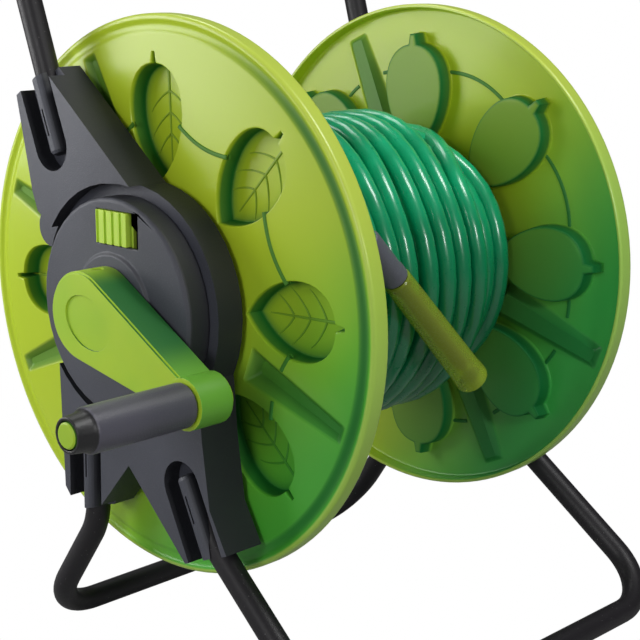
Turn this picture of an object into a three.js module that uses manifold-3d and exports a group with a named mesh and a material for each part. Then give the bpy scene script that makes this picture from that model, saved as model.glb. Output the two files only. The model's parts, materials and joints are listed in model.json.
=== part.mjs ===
// Free-standing garden hose reel: a rotating drum between two plastic brackets on three bent steel tubes.
// Units are millimetres. X is the drum's axle, with the crank at -X; -Y is the front; Z is up.
// Each piece is drawn around the axle's centre, and the finished group is lifted onto its feet.

import * as THREE from 'three';
import { mergeVertices } from 'three/addons/utils/BufferGeometryUtils.js';
import Module from 'manifold-3d';

const wasm = await Module();
wasm.setup();

// ---------------------------------------------------------------- driving dimensions

const seat = 0.3;               // gap left between pieces that touch
const running = 0.4;            // radial gap of a turning shaft
const wall = 3;                 // wall of the moulded plastic pieces
const through = 200;            // long enough to cut right through
const smallest = 0.002;         // facets thinner than this are left out

// Drum
const flangeRadius = 200;
const flangeOutside = 146;      // middle of the drum to a flange's outer face
const lipDepth = 14;            // rim turned in towards the hose
const lipWall = 3.5;
const rimGrooveWidth = 4;
const rimGrooveInset = 5;
const rimGrooveDepth = 1.6;
const coreRadius = 76;
const registerDepth = 8;        // ring on each flange that centres the core

// Leaf cups sunk in each flange
const leafCount = 8;
const leafPhase = 2;            // degrees above the front horizontal
const leafTip = 84;
const leafEnd = 166;
const leafHalfWidth = 27;
const leafDepth = 14;
const leafPieces = 4;           // straight pieces along each side of a leaf
const stemLength = 8;
const stemWidth = 4.5;
const midribWidth = 2.4;
const midribHeight = 1.2;

// Radial stiffening channels between the leaves
const channelSectors = [2, 3, 4, 6, 7];
const channelInner = 92;
const channelOuter = 190;
const channelWidthInner = 26;
const channelWidthOuter = 13;
const channelDepthInner = 9;
const channelDepthOuter = 3;
const channelFloorShare = 0.35;

// Shafts, bushes and seals
const shaftRadius = 12;
const shaftPlateRadius = 28;
const shaftPlate = 4;
const squareSide = 16;
const squareLength = 16;
const waterBore = 6;
const bushWall = 3.5;
const bushLip = 3;
const bushFlange = 2.2;
const sealCord = 2.4;

// Lock
const ringRadius = 53;
const ringRoot = 48;
const ringHeight = 11;
const notchCount = 12;
const notchTop = 9;             // half width at the rim of the lock ring
const notchBottom = 4.4;
const lockTravel = 9;
const buttonWidth = 32;
const buttonHeight = 23;
const buttonY = -2;
const buttonZ = 57.5;
const buttonProud = 2;
const ridgeCount = 4;
const ridgeGap = 2.6;
const ridgeDepth = 1.4;
const pinY = 33;
const pinZ = 46.5;
const pinRadius = 3;

// Brackets
const bracketGap = 5;           // flange to bracket
const bracketDepth = 33;
const hubRadius = 86;
const coverRadius = 78;
const coverProud = 8;
const coverRecess = 11;         // open ring around the cover, cut through the hub's rim
const recessOver = 0.5;
const recessShift = 6;          // the ring widens towards the knuckle
const collarRadius = 40;
const collarProud = 2;
const bossWall = 4;
const slotHalf = 18;            // half width of the open slots over the tube ends
const slotDepth = 14;
const slotRun = 11;             // slot beyond the closed end of its rib
const ribHalf = 7;              // rounded rib that holds a tube in its slot
const ribSink = 0.5;            // crest of a rib below the bracket's face
const ribSeamWidth = 1.6;
const ribSeamStart = 14;
const ribSeamLength = 20;
const ribSeamDepth = 1.2;
const bedWall = 3.5;
const bedInset = 4;
const bracketCorners = [        // (Y, Z) around the outside of a bracket, from the front
  [-70, 0], [-77, -45], [-79.5, -80], [-86, -127], [-102, -155.5], [-60, -172], [-2, -114], [33.5, -155],
  [59.5, -160.5], [72, -146], [74, -47], [60, -10], [62, 38], [93, 58], [98.5, 72],
  [113, 140], [80.5, 161], [-13, 83.5],
];
const knuckleY = 85.5;
const knuckleZ = 46;
const knuckleRadius = 14.2;
const knuckleDepth = 6;         // knuckle's face behind the bracket's

// Tubes
const tubeRadius = 9;
const tubeWall = 1.2;
const tubeClearance = 0.4;      // around a tube in its bed
const bendRadius = 44;
const axleHeight = 271;
const footZ = tubeRadius - axleHeight;
const tubeLines = {             // one side of each tube: in its bracket, at its bend, and at its crossbar
  handle: { start: [168, 78.3, 105.6], knee: [173, 117, 232], bar: [173, 130, 330] },
  front_leg: { start: [168, -53.5, -116], knee: [172, -78, -156], bar: [183, -211, footZ] },
  rear_leg: { start: [168, 50, -106], knee: [172, 50, -172], bar: [174, 112, footZ] },
};
const slotLines = {             // (Y, Z) of the closed and the open end of each rib
  handle: [[72, 100], [90, 147]],
  front_leg: [[-55, -110], [-80, -163]],
  rear_leg: [[47, -100], [48.5, -158]],
};
const screwInset = 16;
const screwRadius = 2;
const screwHead = 4;
const screwHeadHeight = 2.4;
const screwReach = 10;

// Crank
const crankGap = 1;             // crank to the collar it turns on
const crankDepth = 25;
const crankStep = 1.5;          // low crown on the crank's face
const crankHub = 31;
const crankNeck = 12;
const crankY = -105;
const crankZ = -41;
const elbowRadius = 17.5;
const gripGap = 2;              // crank's face to the grip
const gripLength = 94;
const gripRadius = 15;
const gripEndRadius = 11.5;
const gripShoulder = 14;
const spindleRadius = 8;
const spindleHead = 9;
const panelY = -8;
const panelZ = -3.2;
const panelLong = 24;
const panelShort = 17.5;
const panelDepth = 1.2;

// Hose
const hoseRadius = 8;
const hoseLayers = 3;
const hoseLayerRise = 13.9;
const windingHalf = 127;
const windingStep = 48;         // the top layer stops short of the far flange
const leadSlotTurn = [20, 136];  // degrees of the inner end's curl that the core is cut for
const leadSlotGap = 1.2;
const leadCurl = 4.4;           // how far the inner end has turned where it reaches the winding
const leadX = 120;
const outletReach = 9;
const nutLength = 10;

// Hose end and jet nozzle
const nozzleReach = 132.6;      // axle to the nozzle's line, which lies across the front of the hose
const nozzleTilt = 45.2;        // degrees below the horizontal
const tailStraight = 8;         // straight end of the hose before its connector
const collarStartX = -80;
const collarStartZ = 51.2;
const connectorLength = 44;
const connectorRadius = 9.4;
const connectorRim = 10;
const nozzleLength = 126;
const nozzleBackRadius = 10.6;
const nozzleFrontRadius = 12.3;
const nozzleLip = 12.9;
const nozzleBore = 8.2;
const nozzleCoreRadius = 5.2;

// Water inlet
const inletPlateRadius = 30;
const inletBody = 17;
const inletLength = 28;
const inletBranch = 58;
const inletBranchRadius = 11;
const inletTilt = -60;          // degrees from the front horizontal
const nippleLength = 30;
const nippleRadius = 7.6;
const nippleBore = 4.5;

// ---------------------------------------------------------------- worked-out places

const flangeInside = flangeOutside - wall;
const leafFloor = flangeOutside - leafDepth;
const bracketBack = flangeOutside + bracketGap;
const bracketFace = bracketBack + bracketDepth;
const coverFloor = bracketFace - coverRecess;
const coverFace = bracketFace + coverProud;
const bushRadius = shaftRadius + running + bushWall;
const layerOne = coreRadius + seat + hoseRadius;
const windingRadius = layerOne + (hoseLayers - 1) * hoseLayerRise + hoseRadius;

const crankBack = coverFace + collarProud + crankGap;
const elbowBack = coverFace;
const gripStart = crankBack + crankDepth + gripGap;
const gripEnd = gripStart + gripLength;
const crankLength = Math.hypot(crankY, crankZ);
const crankAngle = Math.atan2(crankZ, crankY);

// ---------------------------------------------------------------- shape helpers

const rad = THREE.MathUtils.degToRad;

function solid(geometry) {
  const bare = geometry.clone();
  bare.deleteAttribute('normal');
  bare.deleteAttribute('uv');
  const merged = mergeVertices(bare, 1e-4);
  const place = merged.getAttribute('position');
  const corners = merged.index.array;
  const kept = [];
  for (let i = 0; i < corners.length; i += 3) {
    const [a, b, c] = [corners[i], corners[i + 1], corners[i + 2]];
    if (a !== b && b !== c && c !== a) kept.push(a, b, c);
  }
  let volume = 0;
  const [p, q, r] = [new THREE.Vector3(), new THREE.Vector3(), new THREE.Vector3()];
  for (let i = 0; i < kept.length; i += 3) {
    p.fromBufferAttribute(place, kept[i]);
    q.fromBufferAttribute(place, kept[i + 1]);
    r.fromBufferAttribute(place, kept[i + 2]);
    volume += p.dot(q.cross(r));
  }
  if (volume < 0) {
    for (let i = 0; i < kept.length; i += 3) [kept[i], kept[i + 1]] = [kept[i + 1], kept[i]];
  }
  return new wasm.Manifold(new wasm.Mesh({
    numProp: 3,
    vertProperties: new Float32Array(place.array),
    triVerts: new Uint32Array(kept),
  }));
}

function join(first, ...others) {
  return others.reduce((sum, next) => sum.add(next), first);
}

function cut(first, ...tools) {
  return tools.reduce((rest, tool) => rest.subtract(tool), first);
}

// A solid of revolution about the axle, from [x, radius] pairs.
function revolve(profile, sides = 32) {
  const points = profile.map(([x, radius]) => new THREE.Vector2(radius, x));
  const ends = [points[0].x, points[points.length - 1].x];
  if (ends[0] > 0 || ends[1] > 0) points.push(points[0].clone());
  const geometry = new THREE.LatheGeometry(points, sides);
  geometry.rotateZ(-Math.PI / 2);
  return solid(geometry);
}

// An outline in (Y, Z) pulled along X from one place to another.
function prism(outline, fromX, toX, pieces = 7) {
  const shape = outline instanceof THREE.Shape ? outline : new THREE.Shape(outline);
  const geometry = new THREE.ExtrudeGeometry(shape, {
    depth: Math.abs(toX - fromX),
    bevelEnabled: false,
    curveSegments: pieces,
  });
  const axes = new THREE.Matrix4().makeBasis(
    new THREE.Vector3(0, 1, 0),
    new THREE.Vector3(0, 0, 1),
    new THREE.Vector3(1, 0, 0),
  );
  geometry.applyMatrix4(axes);
  geometry.translate(Math.min(fromX, toX), 0, 0);
  return solid(geometry);
}

// A closed skin between two outlines with as many points each, at two places along X.
function loft(outlineA, xA, outlineB, xB) {
  if (THREE.ShapeUtils.isClockWise(outlineA)) {
    outlineA.reverse();
    outlineB.reverse();
  }
  const count = outlineA.length;
  const points = [];
  outlineA.forEach((point) => points.push(xA, point.x, point.y));
  outlineB.forEach((point) => points.push(xB, point.x, point.y));
  const faces = [];
  for (let i = 0; i < count; i += 1) {
    const next = (i + 1) % count;
    faces.push(i, next, count + next, i, count + next, count + i);
  }
  THREE.ShapeUtils.triangulateShape(outlineA, []).forEach(([a, b, c]) => {
    faces.push(a, c, b, count + a, count + b, count + c);
  });
  const geometry = new THREE.BufferGeometry();
  geometry.setAttribute('position', new THREE.Float32BufferAttribute(points, 3));
  geometry.setIndex(faces);
  return solid(geometry);
}

function box(fromX, toX, fromY, toY, fromZ, toZ) {
  const geometry = new THREE.BoxGeometry(toX - fromX, toY - fromY, toZ - fromZ);
  geometry.translate((fromX + toX) / 2, (fromY + toY) / 2, (fromZ + toZ) / 2);
  return solid(geometry);
}

// A solid of revolution about any line: [distance along it, radius] pairs from a start point.
function turned(profile, start, direction, sides = 16) {
  const points = profile.map(([along, radius]) => new THREE.Vector2(radius, along));
  const ends = [points[0].x, points[points.length - 1].x];
  if (ends[0] > 0 || ends[1] > 0) points.push(points[0].clone());
  const geometry = new THREE.LatheGeometry(points, sides);
  const turn = new THREE.Quaternion().setFromUnitVectors(
    new THREE.Vector3(0, 1, 0),
    direction.clone().normalize(),
  );
  geometry.applyQuaternion(turn);
  geometry.translate(start.x, start.y, start.z);
  return solid(geometry);
}

function rod(start, direction, length, radius, sides = 16) {
  return turned([[0, 0], [0, radius], [length, radius], [length, 0]], start, direction, sides);
}

// Direction in the plane across the axle, at an angle above the front horizontal.
function spoke(degrees) {
  return new THREE.Vector3(0, -Math.cos(rad(degrees)), Math.sin(rad(degrees)));
}

// Outline points given along and across a spoke, turned into (Y, Z).
function onSpoke(points, degrees) {
  const [c, s] = [Math.cos(rad(degrees)), Math.sin(rad(degrees))];
  return points.map((point) => new THREE.Vector2(-point.x * c + point.y * s, point.x * s + point.y * c));
}

function circleShape(radius, y = 0, z = 0) {
  return new THREE.Shape().absarc(y, z, radius, 0, Math.PI * 2, false);
}

// A regular outline whose flats lie at the radius, the first one across the outline's own x axis.
function flatSided(radius, sides) {
  const corner = radius / Math.cos(Math.PI / sides);
  return Array.from({ length: sides }, (_, i) => {
    const angle = ((i + 0.5) * 2 * Math.PI) / sides;
    return new THREE.Vector2(corner * Math.cos(angle), corner * Math.sin(angle));
  });
}

// A line through corner points, rounded at each corner, with a section only where it bends.
class BentPath extends THREE.Curve {
  constructor(corners, radius, steps = 3) {
    super();
    this.places = [corners[0].clone()];
    this.headings = [corners[1].clone().sub(corners[0]).normalize()];
    for (let i = 1; i < corners.length - 1; i += 1) {
      const before = corners[i].clone().sub(corners[i - 1]).normalize();
      const after = corners[i + 1].clone().sub(corners[i]).normalize();
      const turn = before.angleTo(after);
      const trim = radius * Math.tan(turn / 2);
      const axis = before.clone().cross(after).normalize();
      const start = corners[i].clone().addScaledVector(before, -trim);
      const inward = axis.clone().cross(before);
      const centre = start.clone().addScaledVector(inward, radius);
      for (let k = 0; k <= steps; k += 1) {
        const angle = (turn * k) / steps;
        const out = inward.clone().negate().applyAxisAngle(axis, angle);
        this.places.push(centre.clone().addScaledVector(out, radius));
        this.headings.push(before.clone().applyAxisAngle(axis, angle));
      }
    }
    this.places.push(corners[corners.length - 1].clone());
    this.headings.push(this.headings[this.headings.length - 1].clone());
    this.steps = this.places.length - 1;
  }

  getSpacedPoints() {
    return this.places;
  }

  getPoint(t, target = new THREE.Vector3()) {
    return target.copy(this.places[Math.round(t * this.steps)]);
  }

  // The section keeps one flat down at the middle of the path, and is carried along without twisting.
  computeFrenetFrames() {
    const middle = Math.floor(this.steps / 2);
    const normals = [];
    const down = new THREE.Vector3(0, 0, -1);
    normals[middle] = down.clone().addScaledVector(this.headings[middle], -down.dot(this.headings[middle]));
    normals[middle].normalize();
    const carry = (from, to) => {
      const turn = new THREE.Quaternion().setFromUnitVectors(this.headings[from], this.headings[to]);
      normals[to] = normals[from].clone().applyQuaternion(turn);
    };
    for (let i = middle; i < this.steps; i += 1) carry(i, i + 1);
    for (let i = middle; i > 0; i -= 1) carry(i, i - 1);
    const binormals = normals.map((normal, i) => this.headings[i].clone().cross(normal));
    return { tangents: this.headings, normals, binormals };
  }
}

function sweep(path, outline, bore) {
  const shape = new THREE.Shape(outline);
  if (bore) shape.holes.push(new THREE.Path(bore));
  return solid(new THREE.ExtrudeGeometry(shape, {
    steps: path.steps,
    extrudePath: path,
    bevelEnabled: false,
  }));
}

// ---------------------------------------------------------------- materials

const plastic = (color, roughness) => new THREE.MeshStandardMaterial({ color, roughness, metalness: 0 });
const lime = plastic(0xa3c41f, 0.35);
const charcoal = plastic(0x45484d, 0.5);
const hoseGreen = plastic(0x00915f, 0.3);
const coatedSteel = new THREE.MeshStandardMaterial({ color: 0x3a393d, roughness: 0.35, metalness: 0.6 });
const zinc = new THREE.MeshStandardMaterial({ color: 0xb9bcc0, roughness: 0.3, metalness: 1 });
const rubber = plastic(0x101010, 0.8);
const acetal = plastic(0xe6e4dc, 0.4);

const reel = new THREE.Group();

function piece(name, body, material) {
  const { vertProperties, triVerts } = body.simplify(smallest).getMesh();
  const geometry = new THREE.BufferGeometry();
  geometry.setAttribute('position', new THREE.Float32BufferAttribute(vertProperties, 3));
  geometry.setIndex(new THREE.Uint32BufferAttribute(triVerts, 1));
  geometry.computeVertexNormals();
  const mesh = new THREE.Mesh(geometry, material);
  mesh.name = name;
  reel.add(mesh);
}

// ---------------------------------------------------------------- drum flanges

// A pointed oval, tip towards the axle, grown outwards by the wall where it is the cup's outside.
function leafOutline(grow) {
  const tip = leafTip - grow * 1.4;
  const end = leafEnd + grow;
  const half = (leafHalfWidth + grow) * 1.34;
  const leaf = new THREE.Shape();
  leaf.moveTo(tip, 0);
  leaf.bezierCurveTo(tip + (end - tip) * 0.3, -half, end, -half, end, 0);
  leaf.bezierCurveTo(end, half, tip + (end - tip) * 0.3, half, tip, 0);
  const points = leaf.getPoints(leafPieces).slice(0, -1);
  const stem = stemWidth / 2 + grow;
  points.splice(leafPieces, 1, ...[
    [end - 0.2, -stem], [end + stemLength, -stem * 0.7], [end + stemLength, stem * 0.7], [end - 0.2, stem],
  ].map(([along, across]) => new THREE.Vector2(along, across)));
  return points;
}

// A radial channel, or with a thickness the ridge of material around it, sunk from a flange's face.
function channelBar(degrees, side, thickness) {
  const corners = [];
  const add = (along, half, x) => corners.push([along, -half, x], [along, half, x]);
  const face = thickness > 0 ? flangeInside + wall / 2 : flangeOutside;
  const inner = channelInner - thickness;
  const outer = channelOuter - wall + thickness;
  const halfInner = channelWidthInner / 2;
  const halfOuter = channelWidthOuter / 2;
  add(inner, halfInner + thickness, face);
  add(inner, halfInner * channelFloorShare + thickness, flangeOutside - channelDepthInner - thickness);
  add(outer, halfOuter + thickness, face);
  add(outer, halfOuter * channelFloorShare + thickness, flangeOutside - channelDepthOuter - thickness);
  const points = [];
  corners.forEach(([along, across, x]) => {
    const [place] = onSpoke([new THREE.Vector2(along, across)], degrees);
    points.push(side * x, place.x, place.y);
  });
  const quads = [[0, 1, 3, 2], [4, 6, 7, 5], [0, 4, 5, 1], [2, 3, 7, 6], [0, 2, 6, 4], [1, 5, 7, 3]];
  const faces = quads.flatMap(([a, b, c, d]) => [a, b, c, a, c, d]);
  const geometry = new THREE.BufferGeometry();
  geometry.setAttribute('position', new THREE.Float32BufferAttribute(points, 3));
  geometry.setIndex(faces);
  return solid(geometry);
}

function leafMidrib(degrees, side) {
  const half = midribWidth / 2;
  const outline = [
    new THREE.Vector2(leafTip + 10, -half), new THREE.Vector2(leafEnd - 3, -half),
    new THREE.Vector2(leafEnd - 3, half), new THREE.Vector2(leafTip + 10, half),
  ];
  return prism(onSpoke(outline, degrees), side * (leafFloor - 1), side * (leafFloor + midribHeight));
}

function flange(side) {
  const lipEdge = flangeOutside - lipDepth;
  const lipInner = flangeRadius - lipWall;
  const grooveOut = flangeRadius - rimGrooveInset;
  const grooveIn = grooveOut - rimGrooveWidth;
  const hole = shaftRadius + running;
  const register = coreRadius - wall - seat;
  const profile = [
    [flangeOutside, hole], [flangeOutside, grooveIn], [flangeOutside - rimGrooveDepth, grooveIn + 1],
    [flangeOutside - rimGrooveDepth, grooveOut - 1], [flangeOutside, grooveOut],
    [flangeOutside - 1, flangeRadius - 1], [flangeOutside - 3, flangeRadius],
    [lipEdge, flangeRadius], [lipEdge, lipInner], [flangeInside, lipInner],
    [flangeInside, register], [flangeInside - registerDepth, register],
    [flangeInside - registerDepth, register - wall], [flangeInside, register - wall], [flangeInside, hole],
  ];
  let body = revolve(profile.map(([x, r]) => [side * x, r]), 40);
  const pitch = 360 / leafCount;
  const spokes = Array.from({ length: leafCount }, (_, i) => leafPhase + i * pitch);
  const inside = leafOutline(0);
  const outside = leafOutline(wall);
  const draft = leafOutline(-1.2);
  const cupDraft = leafOutline(wall - 1.2);
  for (const angle of spokes) {
    const outer = loft(
      onSpoke(outside, angle), side * (flangeInside + wall / 2),
      onSpoke(cupDraft, angle), side * (leafFloor - wall),
    );
    body = body.add(outer);
  }
  for (const sector of channelSectors) {
    const angle = leafPhase + (sector + 0.5) * pitch;
    body = body.add(channelBar(angle, side, wall));
  }
  for (const sector of channelSectors) {
    const angle = leafPhase + (sector + 0.5) * pitch;
    body = body.subtract(channelBar(angle, side, 0));
  }
  for (const angle of spokes) {
    const recess = loft(
      onSpoke(inside, angle), side * (flangeOutside + 0.5),
      onSpoke(draft, angle), side * leafFloor,
    );
    body = body.subtract(recess).add(leafMidrib(angle, side));
  }
  return body;
}

piece('flange_crank_side', flange(-1), lime);
piece('flange_inlet_side', flange(1), lime);

// ---------------------------------------------------------------- drum core and hose

const coreHalf = flangeInside - seat;

// The inner end of the hose leaves its elbow level at the top and curls forwards out through the core,
// on a circle that meets the first layer of the winding.
const leadStart = outletReach + nutLength + 3 * seat;
const leadRadius = layerOne - leadStart - leadCurl;
const leadSink = Math.sqrt((leadStart + leadCurl) ** 2 - leadStart ** 2);
const elbowTop = leadRadius - leadSink;

function leadPath(turnFrom, turnTo) {
  const count = 10;
  const corners = [];
  for (let i = 0; i <= count; i += 1) {
    const angle = rad(turnFrom + ((turnTo - turnFrom) * i) / count);
    corners.push(new THREE.Vector3(
      leadX, -leadStart - leadRadius * Math.sin(angle), -leadSink + leadRadius * Math.cos(angle),
    ));
  }
  return new THREE.CatmullRomCurve3(corners);
}

function hoseTube(curve, steps, radius = hoseRadius, sides = 10) {
  return solid(new THREE.ExtrudeGeometry(new THREE.Shape(flatSided(radius, sides)), {
    steps,
    extrudePath: curve,
    bevelEnabled: false,
  }));
}

const coreTube = revolve([
  [-coreHalf, coreRadius - wall], [-coreHalf, coreRadius],
  [coreHalf, coreRadius], [coreHalf, coreRadius - wall],
], 40);
const leadSlot = hoseTube(leadPath(...leadSlotTurn), 12, hoseRadius + leadSlotGap);
piece('drum_core', cut(coreTube, leadSlot), charcoal);

const windingTop = windingRadius - hoseLayerRise;
piece('hose_winding', revolve([
  [-windingHalf, coreRadius + seat], [-windingHalf, windingRadius],
  [windingHalf - windingStep, windingRadius],
  [windingHalf, windingTop], [windingHalf, coreRadius + seat],
], 48), hoseGreen);

piece('hose_lead', hoseTube(leadPath(0, 42), 6), hoseGreen);

// ---------------------------------------------------------------- hose end and nozzle

const nozzleLine = new THREE.Vector3(Math.cos(rad(nozzleTilt)), 0, -Math.sin(rad(nozzleTilt)));
const connectorStart = new THREE.Vector3(collarStartX, -nozzleReach, collarStartZ);

// The loose end leaves the top of the winding and swings across the front to its connector.
const tailRoute = [
  [-117.5, -27.8, 125.6], [-116.9, -52, 119.5], [-115, -78, 110], [-111, -102, 98],
  [-103.5, -119, 83.5], [-94, -129.5, 69],
].map(([x, y, z]) => new THREE.Vector3(x, y, z));
tailRoute.push(...[tailStraight, seat].map(
  (back) => connectorStart.clone().addScaledVector(nozzleLine, -back),
));
const tailCurve = new THREE.CatmullRomCurve3(tailRoute);
piece('hose_tail', hoseTube(tailCurve, 14), hoseGreen);

piece('hose_end_connector', turned([
  [0, 0], [0, connectorRadius - 1], [2, connectorRadius], [connectorLength - 8, connectorRadius],
  [connectorLength - 7, connectorRim], [connectorLength, connectorRim], [connectorLength, 0],
], connectorStart, nozzleLine), charcoal);

const nozzleStart = connectorStart.clone().addScaledVector(nozzleLine, connectorLength + seat);
const coreTip = nozzleLength - 14;
piece('nozzle_core', turned([
  [0, 0], [0, nozzleBore - running], [10, nozzleBore - running], [12, nozzleCoreRadius],
  [coreTip - 8, nozzleCoreRadius], [coreTip, 2.5], [coreTip, 0],
], nozzleStart, nozzleLine), charcoal);

piece('nozzle_sleeve', turned([
  [0.5, nozzleBore], [0.5, nozzleBackRadius - 1], [2, nozzleBackRadius],
  [nozzleLength * 0.12, nozzleBackRadius + 0.4], [nozzleLength * 0.5, nozzleFrontRadius - 0.6],
  [nozzleLength - 12, nozzleFrontRadius], [nozzleLength - 8, nozzleLip], [nozzleLength - 1, nozzleLip],
  [nozzleLength, nozzleLip - 1], [nozzleLength, nozzleBore + 2.2], [nozzleLength - 12, nozzleBore],
], nozzleStart, nozzleLine), lime);

// ---------------------------------------------------------------- shafts and seals

const shaftEnd = crankBack + squareLength;
const plateInside = flangeInside - seat;
const driveShaft = revolve([
  [-(plateInside - shaftPlate), 0], [-(plateInside - shaftPlate), shaftPlateRadius],
  [-plateInside, shaftPlateRadius], [-plateInside, shaftRadius],
  [-crankBack, shaftRadius], [-crankBack, 0],
]);
const squareHalf = squareSide / 2;
const squareEnd = box(-shaftEnd, -crankBack + 1, -squareHalf, squareHalf, -squareHalf, squareHalf);
const crankScrewX = -(crankBack + crankDepth * 0.4);
const up = new THREE.Vector3(0, 0, 1);
const screwSeat = new THREE.Vector3(crankScrewX, 0, 4);
const screwBore = rod(screwSeat, up, 20, screwRadius + seat, 12);
piece('drive_shaft', cut(join(driveShaft, squareEnd), screwBore), acetal);

const spindleEnd = coverFace + seat + wall + inletLength * 0.55;
piece('water_spindle', revolve([
  [plateInside - shaftPlate, waterBore], [plateInside - shaftPlate, shaftPlateRadius],
  [plateInside, shaftPlateRadius], [plateInside, shaftRadius],
  [spindleEnd, shaftRadius], [spindleEnd, waterBore],
]), acetal);

const elbowEndX = plateInside - shaftPlate - seat;
const outletStart = new THREE.Vector3(leadX, 0, elbowTop);
const front = new THREE.Vector3(0, -1, 0);
const elbowBody = join(
  revolve([[leadX - 12, 0], [leadX - 12, shaftRadius], [elbowEndX, shaftRadius], [elbowEndX, 0]], 24),
  rod(new THREE.Vector3(leadX, 0, 0), up, elbowTop + outletReach, outletReach - 1),
  rod(outletStart, front, outletReach, outletReach - 1),
);
const elbowWater = join(
  revolve([[leadX, 0], [leadX, waterBore], [elbowEndX + 1, waterBore], [elbowEndX + 1, 0]], 12),
  rod(new THREE.Vector3(leadX, 0, 0), up, elbowTop, waterBore - 1, 12),
  rod(outletStart, front, outletReach + 1, waterBore - 1, 12),
);
piece('outlet_elbow', cut(elbowBody, elbowWater), charcoal);

const nutStart = outletStart.clone().setY(-outletReach - seat);
piece('hose_inner_nut', turned([
  [0, waterBore], [0, 11], [nutLength - 2, 11], [nutLength, 10], [nutLength, waterBore],
], nutStart, front, 12), lime);

const sealTrack = (x) => revolve([
  [x - sealCord / 2, shaftRadius + 0.2], [x - sealCord / 2, shaftRadius + sealCord - 0.3],
  [x + sealCord / 2, shaftRadius + sealCord - 0.3], [x + sealCord / 2, shaftRadius + 0.2],
], 24);
const sealPlaces = [0.15, 0.35].map((share) => coverFace + seat + wall + inletLength * share);
sealPlaces.forEach((x, i) => piece(`spindle_seal_${i + 1}`, sealTrack(x), rubber));

// ---------------------------------------------------------------- lock ring

function lockRing() {
  const height = -(flangeOutside + seat + ringHeight);
  let ring = revolve([
    [-(flangeOutside + seat), ringRoot - 12], [-(flangeOutside + seat), ringRadius],
    [height, ringRadius], [height, ringRoot - 12],
  ], 48);
  const lockedY = pinY - lockTravel;
  const engaged = THREE.MathUtils.radToDeg(Math.atan2(pinZ, -lockedY));
  for (let i = 0; i < notchCount; i += 1) {
    const notch = [
      new THREE.Vector2(ringRoot, -notchBottom), new THREE.Vector2(ringRadius + 1, -notchTop),
      new THREE.Vector2(ringRadius + 1, notchTop), new THREE.Vector2(ringRoot, notchBottom),
    ];
    const angle = engaged + (i * 360) / notchCount;
    ring = ring.subtract(prism(onSpoke(notch, angle), height - 1, -(flangeOutside + seat + 2)));
  }
  return ring;
}

piece('lock_ring', lockRing(), charcoal);

// ---------------------------------------------------------------- tubes

const tubeOutline = flatSided(tubeRadius, 12);
const tubeHole = flatSided(tubeRadius - tubeWall, 8);

// A corner of a tube on one side of the reel.
function onSide([x, y, z], side) {
  return new THREE.Vector3(side * x, y, z);
}

function tubeRun({ start, knee }, side) {
  return onSide(knee, side).sub(onSide(start, side)).normalize();
}

// A tube from one bracket to its crossbar and back to the other bracket.
function loop(line, outline, bore, beyond = 0) {
  const [first, last] = [-1, 1].map(
    (side) => onSide(line.start, side).addScaledVector(tubeRun(line, side), -beyond),
  );
  const corners = [
    first, onSide(line.knee, -1), onSide(line.bar, -1), onSide(line.bar, 1), onSide(line.knee, 1), last,
  ];
  return sweep(new BentPath(corners, bendRadius), outline, bore);
}

// Each tube end is held by one screw, driven from behind through the bed the tube lies on.
function tubeScrew(line, side, gap = 0) {
  const from = onSide(line.start, side).addScaledVector(tubeRun(line, side), screwInset);
  from.x = side * (bracketBack + bedInset - seat - screwHeadHeight);
  const head = screwHeadHeight;
  return turned([
    [0, 0], [0, screwHead + gap], [head, screwHead + gap], [head, screwRadius + gap],
    [head + screwReach, screwRadius + gap], [head + screwReach, 0],
  ], from, new THREE.Vector3(side, 0, 0), 12);
}

for (const [name, line] of Object.entries(tubeLines)) {
  let tube = loop(line, tubeOutline, tubeHole);
  for (const side of [-1, 1]) {
    tube = tube.subtract(tubeScrew(line, side, seat));
    const label = side < 0 ? 'crank_side' : 'inlet_side';
    piece(`${name}_screw_${label}`, tubeScrew(line, side), zinc);
  }
  piece(`${name}_tube`, tube, coatedSteel);
}

// ---------------------------------------------------------------- brackets

// The bracket's outline with every straight edge moved inwards.
function bracketOutline(inset) {
  const corners = bracketCorners.map(([y, z]) => new THREE.Vector2(y, z));
  const count = corners.length;
  return corners.map((corner, i) => {
    const before = corner.clone().sub(corners[(i + count - 1) % count]).normalize();
    const after = corners[(i + 1) % count].clone().sub(corner).normalize();
    const across = new THREE.Vector2(-before.y, before.x).add(new THREE.Vector2(-after.y, after.x));
    const stretch = 2 / across.lengthSq();
    return corner.clone().addScaledVector(across, inset * stretch);
  });
}

// A bar with one round end along a slot's line: it starts behind the line's start and runs forward from it.
function roundedBar([from, to], half, back, forward = through) {
  const start = new THREE.Vector2(...from);
  const run = new THREE.Vector2(...to).sub(start).normalize();
  const angle = run.angle();
  const centre = start.clone().addScaledVector(run, half - back);
  const end = start.clone().addScaledVector(run, forward);
  const across = new THREE.Vector2(-run.y, run.x);
  const shape = new THREE.Shape();
  shape.absarc(centre.x, centre.y, half, angle + Math.PI / 2, angle + Math.PI * 1.5, false);
  shape.lineTo(end.x - across.x * half, end.y - across.y * half);
  shape.lineTo(end.x + across.x * half, end.y + across.y * half);
  return shape;
}

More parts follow.
